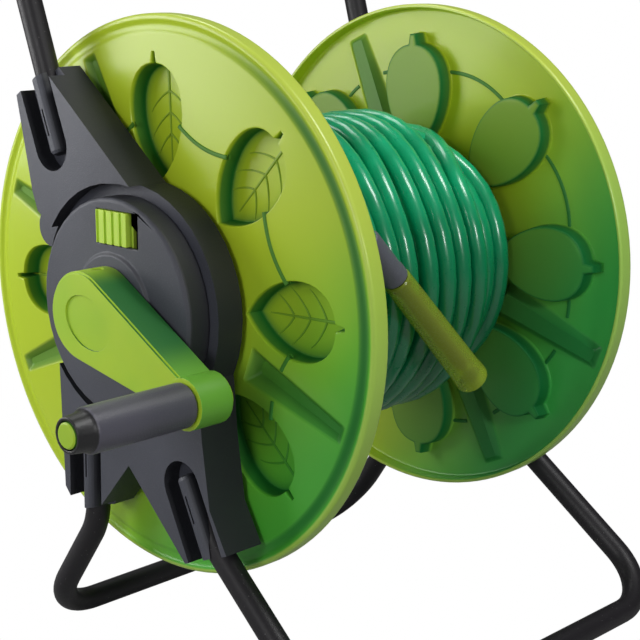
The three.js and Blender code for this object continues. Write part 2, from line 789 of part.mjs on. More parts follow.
// The half-round rib that stands over a tube end, with a shallow seam along its crest.
function slotRib(line, side) {
  const axis = bracketFace - ribSink - ribHalf;
  const start = new THREE.Vector3(0, ...line[0]);
  const run = new THREE.Vector3(0, ...line[1]).sub(start).normalize();
  const crest = turned([
    [0, 0], [0, ribHalf * 0.5], [ribHalf * 0.16, ribHalf * 0.83], [ribHalf * 0.45, ribHalf],
    [through, ribHalf], [through, 0],
  ], start.setX(side * axis), run, 20);
  const webSide = ribHalf - ribSink / 2;
  const web = prism(roundedBar(line, webSide, 0), side * (bracketFace - slotDepth - 1), side * (axis + 1));
  const seam = prism(
    roundedBar(line, ribSeamWidth / 2, -ribSeamStart, ribSeamStart + ribSeamLength),
    side * (bracketFace - ribSink - ribSeamDepth), side * (bracketFace + 1),
  );
  return cut(join(crest, web), seam);
}

function bracket(side) {
  const x = (value) => side * value;
  const disc = (radius, from, to, sides = 40) => revolve([
    [x(from), 0], [x(from), radius], [x(to), radius], [x(to), 0],
  ], sides);
  const outer = (inset) => join(
    disc(hubRadius - inset, bracketBack, bracketFace),
    prism(bracketOutline(inset), x(bracketBack), x(bracketFace)),
  );
  const coverRing = (grow, from) => {
    const shifted = circleShape(hubRadius + grow, recessShift);
    return join(
      disc(hubRadius + recessOver + grow, from, bracketFace + 1),
      prism(shifted, x(from), x(bracketFace + 1), 20),
    );
  };
  const knuckle = circleShape(knuckleRadius, knuckleY, knuckleZ);
  let body = outer(0).add(prism(knuckle, x(bracketBack), x(bracketFace - knuckleDepth), 12));
  // hollow from the back, leaving the outer skin, the bush's boss and the beds the tubes lie on
  const boss = disc(bushRadius + seat + bossWall, bracketBack - wall, bracketFace, 24);
  const beds = Object.values(slotLines).map((line) => {
    const bed = roundedBar(line, slotHalf + bedWall, slotRun + bedWall);
    return prism(bed, x(bracketBack + bedInset), x(bracketFace));
  });
  const floor = coverRing(wall, coverFloor - wall);
  const hollow = cut(outer(wall).translate([x(-wall), 0, 0]), boss, floor, ...beds);
  const bore = disc(bushRadius + seat, bracketBack - 1, bracketFace + 1, 24);
  body = cut(body, hollow, coverRing(0, coverFloor), bore);
  for (const [name, line] of Object.entries(slotLines)) {
    const slot = prism(roundedBar(line, slotHalf, slotRun), x(bracketFace - slotDepth), x(bracketFace + 1));
    const tube = tubeLines[name];
    const channel = loop(tube, flatSided(tubeRadius + tubeClearance, 12), null, seat);
    body = cut(body, cut(slot, slotRib(line, side)), channel, tubeScrew(tube, side, seat));
  }
  return body;
}

// ---------------------------------------------------------------- lock button

const windowGap = 0.4;
const lockPlateX = coverFace - wall - seat;
const lockPlateBack = lockPlateX - wall;

function lockButton() {
  const [y0, y1] = [buttonY - buttonWidth / 2, buttonY + buttonWidth / 2];
  const [z0, z1] = [buttonZ - buttonHeight / 2, buttonZ + buttonHeight / 2];
  const top = coverFace + buttonProud;
  const pad = box(-top, -lockPlateX + 0.5, y0, y1, z0, z1);
  const plate = box(-lockPlateX, -lockPlateBack, y0 - 1.5, y1 + 1.5, z0 - 1.5, z1 - 2);
  const reach = pinRadius + 1;
  const arm = box(-lockPlateX, -lockPlateBack, 0, pinY + reach, pinZ - reach, pinZ + reach + 3);
  const pin = rod(
    new THREE.Vector3(-lockPlateX + 0.5, pinY, pinZ), new THREE.Vector3(1, 0, 0),
    lockPlateX - 0.5 - (flangeOutside + seat + 3), pinRadius, 16,
  );
  let body = join(pad, plate, arm, pin);
  for (let i = 1; i < ridgeCount * 2; i += 2) {
    const y = y0 + (buttonWidth * (i + 0.5)) / (ridgeCount * 2);
    const half = ridgeGap / 2;
    body = body.subtract(box(-(top + 1), -(top - ridgeDepth), y - half, y + half, z0 - 1, z1 + 1));
  }
  return body;
}

piece('lock_button', lockButton(), lime);

const lockWindow = box(
  -bracketFace, -(bracketBack + 1), pinY - lockTravel - pinRadius - 1, pinY + pinRadius + 1,
  pinZ - pinRadius - 1, pinZ + pinRadius + 1,
);
piece('bracket_crank_side', cut(bracket(-1), lockWindow), charcoal);
piece('bracket_inlet_side', bracket(1), charcoal);

// ---------------------------------------------------------------- bushes and covers

function bush(side) {
  const inner = shaftRadius + running;
  const seatX = bracketBack - seat;
  return revolve([
    [side * (seatX - bushFlange), inner], [side * (seatX - bushFlange), bushRadius + bushLip],
    [side * seatX, bushRadius + bushLip], [side * seatX, bushRadius],
    [side * (coverFloor - 1), bushRadius], [side * (coverFloor - 1), inner],
  ], 24);
}

piece('bush_crank_side', bush(-1), acetal);
piece('bush_inlet_side', bush(1), acetal);

function hubCover(side) {
  const x = (value) => side * value;
  const foot = coverFloor + seat;
  const hole = shaftRadius + 1.5;
  return revolve([
    [x(coverFace + collarProud), hole], [x(coverFace + collarProud), collarRadius - 1.5],
    [x(coverFace), collarRadius], [x(coverFace), coverRadius - 2], [x(coverFace - 2), coverRadius],
    [x(foot), coverRadius], [x(foot), coverRadius - wall], [x(coverFace - wall), coverRadius - wall],
    [x(coverFace - wall), hole + wall], [x(foot), hole + wall], [x(foot), hole],
  ], 40);
}

const slideWindow = box(
  -(coverFace + 10), -(coverFace - wall - 1),
  buttonY - buttonWidth / 2 - lockTravel - windowGap, buttonY + buttonWidth / 2 + windowGap,
  buttonZ - buttonHeight / 2 - windowGap, buttonZ + buttonHeight / 2 + windowGap,
);
piece('hub_cover_crank_side', cut(hubCover(-1), slideWindow), charcoal);
piece('hub_cover_inlet_side', hubCover(1), charcoal);

// ---------------------------------------------------------------- crank and grip

// A teardrop about the axle and the grip's line, in (Y, Z).
function teardrop(hub, neck, length) {
  const lean = Math.acos((hub - neck) / length);
  const far = new THREE.Vector2(Math.cos(crankAngle), Math.sin(crankAngle)).multiplyScalar(length);
  const shape = new THREE.Shape();
  shape.absarc(0, 0, hub, crankAngle + lean, crankAngle + 2 * Math.PI - lean, false);
  shape.absarc(far.x, far.y, neck, crankAngle - lean, crankAngle + lean, false);
  return shape;
}

const gripCentre = new THREE.Vector3(0, crankY, crankZ);
const outward = new THREE.Vector3(-1, 0, 0);

function crankArm() {
  const face = crankBack + crankDepth;
  const shell = prism(teardrop(crankHub, crankNeck, crankLength), -face, -crankBack, 14);
  const crown = teardrop(crankHub - crankStep, crankNeck - crankStep, crankLength);
  const rounded = prism(crown, -(face + crankStep), -(face - 1), 14);
  const hollow = teardrop(crankHub - wall, crankNeck - wall, crankLength);
  const inside = prism(hollow, -(face - wall), -(crankBack - 1), 14);
  const bossRadius = squareSide * Math.SQRT1_2 + wall;
  const boss = revolve([
    [-face + 1, 0], [-face + 1, bossRadius], [-crankBack, bossRadius], [-crankBack, 0],
  ], 24);
  const from = gripCentre.clone().setX(-elbowBack);
  const elbow = turned([
    [0, 0], [0, elbowRadius - 3], [3, elbowRadius], [gripStart - elbowBack, elbowRadius],
    [gripStart - elbowBack, spindleRadius], [gripEnd - elbowBack - 9, spindleRadius],
    [gripEnd - elbowBack - 8, spindleHead], [gripEnd - elbowBack - 1, spindleHead - 0.6],
    [gripEnd - elbowBack, spindleHead - 1.6], [gripEnd - elbowBack, 0],
  ], from, outward, 20);
  const inner = new THREE.Shape().absellipse(
    panelY, panelZ, panelLong, panelShort, 0, Math.PI * 2, false, crankAngle,
  );
  const panel = prism(inner, -(face + crankStep + 1), -(face + crankStep - panelDepth), 12);
  const socket = box(
    -(shaftEnd + seat), -(crankBack - 1), -squareSide / 2 - seat, squareSide / 2 + seat,
    -squareSide / 2 - seat, squareSide / 2 + seat,
  );
  const screwFrom = new THREE.Vector3(crankScrewX, 0, 0);
  const screwHole = rod(screwFrom, up, crankHub * 2, screwRadius + seat, 12);
  const headHole = rod(new THREE.Vector3(crankScrewX, 0, crankHub - 4), up, 20, screwHead + seat, 16);
  let body = join(cut(shell, inside), rounded, boss, elbow);
  body = cut(body, panel, socket, screwHole, headHole);
  return body;
}

piece('crank_arm', crankArm(), lime);

piece('crank_screw', turned([
  [0, 0], [0, screwRadius], [crankHub - 9, screwRadius], [crankHub - 9, screwHead],
  [crankHub - 9 + screwHeadHeight, screwHead], [crankHub - 9 + screwHeadHeight, 0],
], new THREE.Vector3(crankScrewX, 0, 5), up, 12), zinc);

const gripBore = spindleRadius + running;
piece('grip_sleeve', turned([
  [seat, gripBore], [seat, gripRadius - 1], [2, gripRadius], [gripLength - gripShoulder - 2, gripRadius],
  [gripLength - gripShoulder, gripRadius - 1.2], [gripLength - gripShoulder + 2, gripEndRadius + 1.2],
  [gripLength - 1, gripEndRadius], [gripLength - 1, spindleHead + running],
  [gripLength - 9, spindleHead + running], [gripLength - 10, gripBore],
], gripCentre.clone().setX(-gripStart), outward, 20), charcoal);

// ---------------------------------------------------------------- water inlet

const branchLine = spoke(inletTilt);
const inletX = coverFace + collarProud + seat;
const branchX = inletX + wall + inletLength - inletBody;

function inletElbow() {
  const end = inletX + wall + inletLength;
  const body = revolve([
    [inletX, 0], [inletX, inletPlateRadius],
    [inletX + wall, inletPlateRadius], [inletX + wall + 1, inletBody],
    [end - 3, inletBody], [end, inletBody - 3], [end, 0],
  ], 24);
  const branch = rod(new THREE.Vector3(branchX, 0, 0), branchLine, inletBranch, inletBranchRadius);
  const bore = revolve([
    [inletX - 1, 0], [inletX - 1, shaftRadius + sealCord], [spindleEnd + seat, shaftRadius + sealCord],
    [spindleEnd + seat, waterBore], [end - 5, waterBore], [end - 5, 0],
  ], 24);
  const run = rod(new THREE.Vector3(branchX, 0, 0), branchLine, inletBranch + 5, waterBore, 16);
  return cut(join(body, branch), bore, run);
}

piece('inlet_elbow', inletElbow(), charcoal);

const nippleStart = branchLine.clone().multiplyScalar(inletBranch + seat).setX(branchX);
piece('inlet_nipple', turned([
  [0, nippleBore], [0, inletBranchRadius + 1], [7, inletBranchRadius + 1], [8, nippleRadius],
  [14, nippleRadius], [15, nippleRadius + 1.4], [17, nippleRadius + 1.4], [18, nippleRadius - 0.6],
  [23, nippleRadius - 0.6], [24, nippleRadius + 0.4], [nippleLength - 1, nippleRadius],
  [nippleLength, nippleRadius - 1], [nippleLength, nippleBore],
], nippleStart, branchLine), lime);

// ---------------------------------------------------------------- stand the reel on its feet

const lowX = -gripEnd;
const highX = inletX + wall + inletLength;
const [, frontFootY] = tubeLines.front_leg.bar;
const [, rearFootY] = tubeLines.rear_leg.bar;
const lowY = Math.min(frontFootY - tubeRadius, -flangeRadius);
const highY = Math.max(flangeRadius, rearFootY + tubeRadius);
reel.position.set(-(lowX + highX) / 2, -(lowY + highY) / 2, axleHeight);

export default reel;
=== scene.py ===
import json
import math

import bmesh
import bpy
from mathutils import Matrix, Vector
from mathutils.geometry import delaunay_2d_cdt

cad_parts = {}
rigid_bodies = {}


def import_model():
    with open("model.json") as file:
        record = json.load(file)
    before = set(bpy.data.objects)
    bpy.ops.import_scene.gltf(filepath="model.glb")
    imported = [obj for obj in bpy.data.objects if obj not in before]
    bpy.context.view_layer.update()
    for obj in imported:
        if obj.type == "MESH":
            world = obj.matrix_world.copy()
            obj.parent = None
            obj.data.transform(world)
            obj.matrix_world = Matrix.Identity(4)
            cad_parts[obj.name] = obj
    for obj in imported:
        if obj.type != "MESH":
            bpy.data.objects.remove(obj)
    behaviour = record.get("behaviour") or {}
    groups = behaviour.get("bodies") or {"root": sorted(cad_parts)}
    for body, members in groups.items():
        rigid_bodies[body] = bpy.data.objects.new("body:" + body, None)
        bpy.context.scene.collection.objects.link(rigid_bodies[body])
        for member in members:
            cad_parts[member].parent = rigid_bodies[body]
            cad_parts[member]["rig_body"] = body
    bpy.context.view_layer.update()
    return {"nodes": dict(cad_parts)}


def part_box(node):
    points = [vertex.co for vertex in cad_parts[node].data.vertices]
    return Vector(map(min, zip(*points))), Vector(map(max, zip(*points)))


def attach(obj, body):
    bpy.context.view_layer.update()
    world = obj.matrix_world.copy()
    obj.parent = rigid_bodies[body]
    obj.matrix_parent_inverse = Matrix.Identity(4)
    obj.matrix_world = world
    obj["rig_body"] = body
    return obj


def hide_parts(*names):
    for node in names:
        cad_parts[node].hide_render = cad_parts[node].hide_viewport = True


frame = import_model()

# New pieces are drawn in millimetres around the middle of the drum's axle: X along the axle with
# the crank at -X, -Y to the front and Z up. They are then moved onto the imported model, which is in
# metres.
core_low, core_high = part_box("drum_core")
AXLE = (core_low + core_high) / 2
TO_ROW = Matrix.Translation(AXLE) @ Matrix.Scale(0.001, 4)

# the nozzle lies across the front of the hose and points down towards the water inlet
NOZZLE_TILT = math.radians(45.2)
NOZZLE_LINE = Vector((math.cos(NOZZLE_TILT), 0.0, -math.sin(NOZZLE_TILT)))
CONNECTOR_START = Vector((-80.0, -132.6, 51.2))


def on_spoke(along, across, degrees, x=0.0):
    """A point given along and across a spoke that rises from the front horizontal."""
    c, s = math.cos(math.radians(degrees)), math.sin(math.radians(degrees))
    return Vector((x, -along * c + across * s, along * s + across * c))


def round_the_axle(radius, degrees, x=0.0):
    """A point at an angle round the axle, which grows upwards from the front."""
    return on_spoke(radius, 0.0, degrees, x)


def smooth_step(low, high, value):
    """0 up to low, 1 from high on, smooth in between."""
    t = min(max((value - low) / (high - low), 0.0), 1.0)
    return t * t * (3 - 2 * t)


# ------------------------------------------------------------------ camera

LENS = 89.7
SENSOR = 36.0
CAMERA_AWAY, CAMERA_RIGHT, CAMERA_DOWN = 1.235, 0.01016, 0.0381     # from the middle of the axle
azimuth, rise = math.radians(-46.46), math.radians(12.95)
back = Vector((
    math.sin(azimuth) * math.cos(rise), -math.cos(azimuth) * math.cos(rise), math.sin(rise)
))
right = Vector((math.cos(azimuth), math.sin(azimuth), 0.0))
up = back.cross(right)
camera_data = bpy.data.cameras.new("camera")
camera_data.lens = LENS
camera_data.sensor_width = SENSOR
camera_data.clip_start = 0.05
camera_data.clip_end = 60.0
camera = bpy.data.objects.new("camera", camera_data)
turn = Matrix((right, up, back)).transposed().to_4x4()
camera.matrix_world = Matrix.Translation(
    AXLE + back * CAMERA_AWAY + right * CAMERA_RIGHT - up * CAMERA_DOWN
) @ turn
bpy.context.scene.collection.objects.link(camera)
bpy.context.scene.camera = camera


# ------------------------------------------------------------------ materials

class Wire:
    """One output of a node. Arithmetic on it adds Math nodes."""

    def __init__(self, nodes, socket):
        self.nodes = nodes
        self.socket = socket

    def _math(self, operation, first, second):
        return self.nodes.node("ShaderNodeMath", {"operation": operation}, {0: first, 1: second})

    def __add__(self, other):
        return self._math("ADD", self, other)

    def __radd__(self, other):
        return self._math("ADD", other, self)

    def __rsub__(self, other):
        return self._math("SUBTRACT", other, self)

    def __mul__(self, other):
        return self._math("MULTIPLY", self, other)

    def __rmul__(self, other):
        return self._math("MULTIPLY", other, self)

    def clamped(self):
        """Cut off below 0 and above 1."""
        return self.nodes.node("ShaderNodeClamp", {}, {"Value": self, "Min": 0.0, "Max": 1.0})

    def between(self, low, high):
        """0 below low, 1 above high, smooth in between."""
        return self.nodes.node(
            "ShaderNodeMapRange", {"interpolation_type": "SMOOTHSTEP"},
            {"Value": self, "From Min": low, "From Max": high},
        )


class Nodes:
    """A node tree under construction."""

    def __init__(self, tree):
        self.tree = tree

    def node(self, kind, settings, sockets, output=0):
        """Adds a node and gives one of its outputs."""
        made = self.tree.nodes.new(kind)
        for key, value in settings.items():
            setattr(made, key, value)
        for key, value in sockets.items():
            self.link(made.inputs[key], value)
        return Wire(self, made.outputs[output])

    def link(self, socket, value):
        """Feeds a socket with a wire or a fixed value."""
        if isinstance(value, Wire):
            self.tree.links.new(value.socket, socket)
        else:
            socket.default_value = value

    def rays(self, kind):
        """1 for rays of one kind and 0 for others."""
        return self.node("ShaderNodeLightPath", {}, {}, kind)


class Finish(Nodes):
    """A material under construction."""

    def __init__(self, name):
        self.material = bpy.data.materials.new(name)
        self.material.use_nodes = True
        super().__init__(self.material.node_tree)
        self.shader = self.tree.nodes["Principled BSDF"]
        self.output = self.tree.nodes["Material Output"]

    def place(self):
        return self.node("ShaderNodeTexCoord", {}, {}, "Object")

    def painted(self, name):
        """A value that the mesh carries on its corners."""
        return self.node("ShaderNodeAttribute", {"attribute_name": name}, {}, "Fac")

    def noise(self, scale, detail, roughness=0.5):
        sockets = {
            "Scale": scale, "Detail": detail, "Roughness": roughness, "Vector": self.place(),
        }
        return self.node("ShaderNodeTexNoise", {}, sockets, "Fac")

    def cells(self, scale):
        return self.node(
            "ShaderNodeTexVoronoi", {}, {"Vector": self.place(), "Scale": scale}, "Distance"
        )

    def vector(self, operation, first, second, output="Vector"):
        return self.node(
            "ShaderNodeVectorMath", {"operation": operation}, {0: first, 1: second}, output
        )

    def along(self, direction):
        """How far a place lies from the middle of the axle in a direction."""
        shifted = self.vector("SUBTRACT", self.place(), tuple(AXLE))
        return self.vector("DOT_PRODUCT", shifted, direction, "Value")

    def off_line(self, origin, direction):
        """How far a place lies from a line."""
        shifted = self.vector("SUBTRACT", self.place(), tuple(origin))
        crossed = self.vector("CROSS_PRODUCT", shifted, tuple(direction))
        return self.node("ShaderNodeVectorMath", {"operation": "LENGTH"}, {0: crossed}, "Value")

    def blend(self, share, first, second):
        """Colour first where share is 0 and second where it is 1."""
        return self.node(
            "ShaderNodeMix", {"data_type": "RGBA"}, {0: share, 6: first, 7: second}, 2
        )

    def bump(self, height, distance, strength):
        return self.node(
            "ShaderNodeBump", {}, {"Height": height, "Distance": distance, "Strength": strength}
        )

    def set(self, **sockets):
        """Feeds sockets of the main shader, written with underscores for spaces."""
        for key, value in sockets.items():
            self.link(self.shader.inputs[key.replace("_", " ")], value)

    def main(self):
        return Wire(self, self.shader.outputs[0])

    def clear(self, tint):
        return self.node("ShaderNodeBsdfTransparent", {}, {"Color": tint})

    def glow(self, tint):
        """Plastic lit from behind."""
        return self.node("ShaderNodeBsdfTranslucent", {}, {"Color": tint})

    def mix(self, share, first, second):
        """Shader first where share is 0 and second where it is 1."""
        return self.node("ShaderNodeMixShader", {}, {0: share, 1: first, 2: second})

    def ends_in(self, shader):
        """Puts a shader in place of the main one."""
        self.link(self.output.inputs["Surface"], shader)


ARM_LINE = (0.0, -0.932, -0.364)       # from the axle to the grip
GLOW_SHARE, CLEAR_SHARE = 0.15, 0.03   # of the light on a flange, scattered and straight through


def colour(red, green, blue):
    """A linear colour from the 0 to 255 values that it is seen as."""
    def linear(value):
        value /= 255
        return value / 12.92 if value <= 0.04045 else ((value + 0.055) / 1.055) ** 2.4
    return (linear(red), linear(green), linear(blue), 1.0)


def times(factor, face):
    """A colour made brighter or darker."""
    return (*(factor * c for c in face[:3]), 1.0)


def translucent_lime(name, face, shaded_face, shade, towards, shade_from, shade_to):
    """Thin lime plastic that lets light through. Its colour is painted greener towards one side as
    painted shade, darker green along its walls and the front of its rim groove as painted shade, and
    paler on its lip as a painted glow."""
    finish = Finish(name)
    # painted shade: the rim groove is painted dark only on its front side
    edge = finish.along((0.0, -1.0, 0.0)).between(0.03, 0.15)
    # painted shade along the walls and the rim groove
    wall_shade = (finish.painted("wall") + finish.painted("groove") * edge).clamped()
    # painted glow: the lip is painted paler
    thin = finish.painted("thin")
    # painted shade: greener towards one side
    low = (finish.along(towards) + 0.05 * finish.noise(9.0, 2.0)).between(shade_from, shade_to)

    def in_zones(join, make):
        """One thing made in each zone's colour, joined where the zones meet."""
        tone = join(low, make(face), make(shaded_face))
        tone = join(thin, tone, make(colour(212, 230, 104)))
        return join(wall_shade, tone, make(shade))

    fine = finish.noise(900.0, 2.0)
    finish.set(
        Base_Color=in_zones(finish.blend, tuple), Roughness=0.3 + 0.12 * fine + 0.25 * wall_shade,
        Normal=finish.bump(fine, 0.00006, 0.5),
        Coat_Weight=0.22 - 0.22 * wall_shade, Coat_Roughness=0.18, IOR=1.45,
    )
    body = finish.mix(GLOW_SHARE, finish.main(), in_zones(finish.mix, finish.glow))
    # light through the walls is tinted darker green, as painted shade
    through = finish.mix(
        wall_shade, finish.clear(colour(206, 226, 60)), finish.clear(colour(20, 130, 50))
    )
    finish.ends_in(finish.mix(CLEAR_SHARE, body, through))
    return finish.material


def clear_sleeve():
    """Clear lime plastic whose bore shows the dark core inside it."""
    finish = Finish("lime_sleeve")
    fine = finish.noise(700.0, 2.0)
    finish.set(
        Base_Color=finish.blend(fine, colour(222, 242, 96), colour(206, 230, 80)),
        Roughness=0.22 + 0.1 * fine, Coat_Weight=0.4, Coat_Roughness=0.1,
    )
    bore = finish.off_line(TO_ROW @ CONNECTOR_START, NOZZLE_LINE).between(0.0094, 0.0088)
    through = finish.clear(colour(226, 236, 120))
    finish.ends_in(finish.mix(0.7 + 0.26 * bore, finish.main(), through))
    return finish.material


def lime_plastic(name, face, shade, wall_shade=None, far_wall_shade=None):
    """Solid lime plastic with a fine moulded grain. Its walls can be painted greener along the arm,
    as painted shade.
    """
    finish = Finish(name)
    grain = finish.noise(1500.0, 3.0, 0.6)
    cloud = finish.noise(14.0, 2.0)
    tone = finish.blend(cloud.between(0.3, 0.7), face, shade)
    # painted shade: walls darker green along the arm and lighter green towards its grip end
    if wall_shade:
        reach = finish.along(ARM_LINE)
        wall = finish.blend(reach.between(-0.02, 0.012), face, wall_shade)
        wall = finish.blend(reach.between(0.07, 0.105), wall, far_wall_shade)
        tone = finish.blend(finish.painted("wall").between(0.3, 0.9), tone, wall)
    finish.set(
        Base_Color=tone, Roughness=0.36 + 0.16 * grain, Normal=finish.bump(grain, 0.00012, 0.6),
        Subsurface_Weight=0.12, Subsurface_Radius=(0.004, 0.006, 0.001), Subsurface_Scale=1.0,
    )
    return finish.material


def grey_plastic(name, face, grain_size=1100.0, depth=0.00022, shine=0.5, wall_shade=0.0, end=None):
    """Charcoal plastic with a spark-eroded grain that catches the light as fine specks. It can be
    painted darker on its walls as painted shade, and darker past an end along the axle."""
    finish = Finish(name)
    grain = finish.noise(grain_size, 4.0, 0.65)
    cloud = finish.noise(11.0, 3.0)
    speck = grain.between(0.56, 0.72)
    tone = finish.blend(cloud.between(0.35, 0.7), face, times(0.8, face))
    tone = finish.blend(speck * 0.6, tone, times(1.35, face))
    # painted shade: walls darkened towards a quarter of the face colour
    if wall_shade:
        walls = finish.painted("wall").between(0.12, 0.7)
        tone = finish.blend(walls * wall_shade, tone, times(0.25, face))
    if end:
        tone = finish.blend(
            finish.along((-1.0, 0.0, 0.0)).between(end - 0.001, end), tone, colour(26, 26, 28)
        )
    finish.set(
        Base_Color=tone, Roughness=shine - 0.12 * speck + 0.1 * cloud,
        Normal=finish.bump(grain, depth, 0.7),
    )
    return finish.material


def coated_steel():
    finish = Finish("coated_steel")
    drops = finish.noise(420.0, 2.0)
    cloud = finish.noise(16.0, 3.0)
    tone = finish.blend(cloud.between(0.3, 0.75), colour(32, 30, 34), colour(26, 24, 27))
    chip = finish.cells(240.0).between(0.05, 0.09)
    tone = finish.blend(chip, colour(96, 94, 96), tone)
    finish.set(
        Base_Color=tone, Roughness=0.4 + 0.15 * drops, Normal=finish.bump(drops, 0.0002, 0.35),
        Coat_Weight=0.03, Coat_Roughness=0.3, Specular_IOR_Level=0.32,
    )
    return finish.material


def hose_pvc():
    """Glossy green hose with a faint woven lay showing through its skin, painted darker on its lower
    front as painted shade.
    """
    finish = Finish("hose_pvc")
    cloud = finish.noise(30.0, 2.0)
    tone = finish.blend(cloud.between(0.3, 0.7), colour(0, 180, 122), colour(0, 158, 104))
    # painted shade: darker green towards the lower front of the winding
    low = finish.along((0.0, -0.6, -0.8)).between(-0.03, 0.1)
    tone = finish.blend(low, tone, colour(0, 112, 68))
    ripple = finish.noise(260.0, 2.0)
    finish.set(
        Base_Color=tone, Roughness=0.24 + 0.1 * ripple, Normal=finish.bump(ripple, 0.00025, 0.25),
        Coat_Weight=0.45, Coat_Roughness=0.12,
    )
    return finish.material


def plain(name, face, roughness, metallic=0.0, grain=700.0, depth=0.00005):
    finish = Finish(name)
    fine = finish.noise(grain, 2.0)
    finish.set(
        Base_Color=finish.blend(fine.between(0.35, 0.7), face, times(0.85, face)),
        Metallic=metallic,
        Roughness=roughness + 0.12 * fine, Normal=finish.bump(fine, depth, 0.5),
    )
    return finish.material


# colours: face, painted shade towards one side, painted shade on the walls; then where that painted
# shade falls
LIME_NEAR = translucent_lime(
    "lime_flange", colour(188, 212, 44), colour(84, 188, 60), colour(18, 116, 40),
    (0.0, -0.66, -0.75), 0.04, 0.2,
)
LIME_FAR = translucent_lime(
    "lime_flange_far", colour(186, 208, 38), colour(72, 192, 90), colour(8, 120, 56),
    (0.0, -0.87, -0.5), 0.03, 0.2,
)
LIME_SLEEVE = clear_sleeve()
# the last two colours are the walls' painted shade, along the arm and at its grip end
LIME_CRANK = lime_plastic(
    "lime_crank", colour(168, 200, 44), colour(154, 194, 42), colour(36, 106, 46),
    colour(98, 160, 50),
)
LIME_BUTTON = lime_plastic("lime_button", colour(186, 218, 70), colour(176, 210, 64))
GREY = grey_plastic("charcoal_shell", colour(66, 68, 78), wall_shade=0.97)
GREY_GRIP = grey_plastic("charcoal_grip", colour(80, 79, 90), 900.0, 0.00026, 0.34, end=0.302)
GREY_END = grey_plastic("charcoal_connector", colour(100, 102, 112), 900.0, 0.00026, 0.4)
GREY_CORE = grey_plastic("charcoal_core", colour(60, 62, 60))
NOZZLE_CORE = grey_plastic("nozzle_core", colour(48, 40, 26))
STEEL = coated_steel()
HOSE = hose_pvc()
ACETAL = plain("white_acetal", colour(226, 224, 214), 0.4)
ZINC = plain("zinc_steel", colour(176, 178, 182), 0.3, 1.0, 500.0, 0.0001)
RUBBER = plain("seal_rubber", colour(30, 30, 32), 0.6)


# ------------------------------------------------------------------ pieces

SHARP_DRAWN = 35.0                      # degrees between faces past which an edge stays sharp
SHARP_COPIED = 32.0


def add_piece(name, mesh, sharp, body, material, replaced):
    """Makes a mesh a piece that rides on a body and takes the place of CAD nodes."""
    mesh.shade_smooth()
    mesh.set_sharp_from_angle(angle=math.radians(sharp))
    mesh.materials.clear()
    mesh.materials.append(material)
    piece = bpy.data.objects.new(name, mesh)
    bpy.context.scene.collection.objects.link(piece)
    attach(piece, body)
    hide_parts(*replaced)
    return piece


def finish_piece(name, bm, body, material, replaced):
    """Moves a drawn mesh onto the model and makes it a piece."""
    bmesh.ops.recalc_face_normals(bm, faces=bm.faces)
    bmesh.ops.transform(bm, matrix=TO_ROW, verts=bm.verts)
    mesh = bpy.data.meshes.new(name)
    bm.to_mesh(mesh)
    bm.free()
    return add_piece(name, mesh, SHARP_DRAWN, body, material, replaced)


def weigh_normals(piece):
    """Keeps flat faces flat up to their rounded edges."""
    weigh = piece.modifiers.new("weigh", "WEIGHTED_NORMAL")
    weigh.keep_sharp = True


def soften(piece, width, segments):
    """Rounds every sharp edge."""
    bevel = piece.modifiers.new("soften", "BEVEL")
    bevel.width = width * 0.001
    bevel.segments = segments
    bevel.limit_method = "ANGLE"
    bevel.angle_limit = math.radians(SHARP_COPIED)
    bevel.harden_normals = False
    weigh_normals(piece)


def ring(bm, points, paint=None, dark=0.0):
    """A closed loop of edges through the points, painted in one layer."""
    corners = [bm.verts.new(point) for point in points]
    if paint:
        for corner in corners:
            corner[paint] = dark
    return [bm.edges.new((corners[i - 1], corners[i])) for i in range(len(corners))]


def skin(bm, rings):
    """Joins each loop to the next."""
    for first, second in zip(rings, rings[1:]):
        bmesh.ops.bridge_loops(bm, edges=first + second)


def within(outline, across, height):
    """Whether a point lies inside a closed outline."""
    inside = False
    for (a, b), (c, d) in zip(outline, outline[1:] + outline[:1]):
        if (b > height) != (d > height) and across < a + (height - b) * (c - a) / (d - b):
            inside = not inside
    return inside


def flat_fill(bm, loops):
    """Fills the flat space between closed loops of edges, which share one plane across the axle."""
    corners = []
    lines = []
    for loop in loops:
        number = {}
        for edge in loop:
            for corner in edge.verts:
                if corner not in number:
                    number[corner] = len(corners)
                    corners.append(corner)
            lines.append([number[corner] for corner in edge.verts])
    outlines = [[tuple(edge.verts[0].co.yz) for edge in loop] for loop in loops]
    places = [corner.co.yz for corner in corners]
    _, _, faces, origins, _, _ = delaunay_2d_cdt(places, lines, [], 0, 1e-7)
    for face in faces:
        used = [corners[origins[index][0]] for index in face]
        middle = sum((corner.co.yz for corner in used), Vector((0, 0))) / len(used)
        if sum(within(outline, *middle) for outline in outlines) % 2:
            bm.faces.new(used)


def cad_copy(node, name, body, material, width, segments):
    """A CAD node's own shape with its edges rounded. Faces that run along the axle are painted as
    walls, which some materials darken as painted shade."""
    mesh = frame["nodes"][node].data.copy()
    mesh.name = name
    bm = bmesh.new()
    bm.from_mesh(mesh)
    bmesh.ops.remove_doubles(bm, verts=bm.verts, dist=0.00001)
    bmesh.ops.dissolve_limit(
        bm, angle_limit=math.radians(1.0), verts=bm.verts, edges=bm.edges,
        use_dissolve_boundaries=False,
    )
    bm.normal_update()
    wall = bm.loops.layers.float.new("wall")
    for face in bm.faces:
        for corner in face.loops:
            corner[wall] = 1 - abs(face.normal.x)
    bm.to_mesh(mesh)
    bm.free()
    piece = add_piece(name, mesh, SHARP_COPIED, body, material, (node,))
    soften(piece, width, segments)


# ------------------------------------------------------------------ hose

HOSE_RADIUS = 8.0
CORE_RADIUS = 76.0
SEAT = 0.3                             # first layer to the core
LAYER_RISE = 13.9
FIRST_LAYER = CORE_RADIUS + SEAT + HOSE_RADIUS

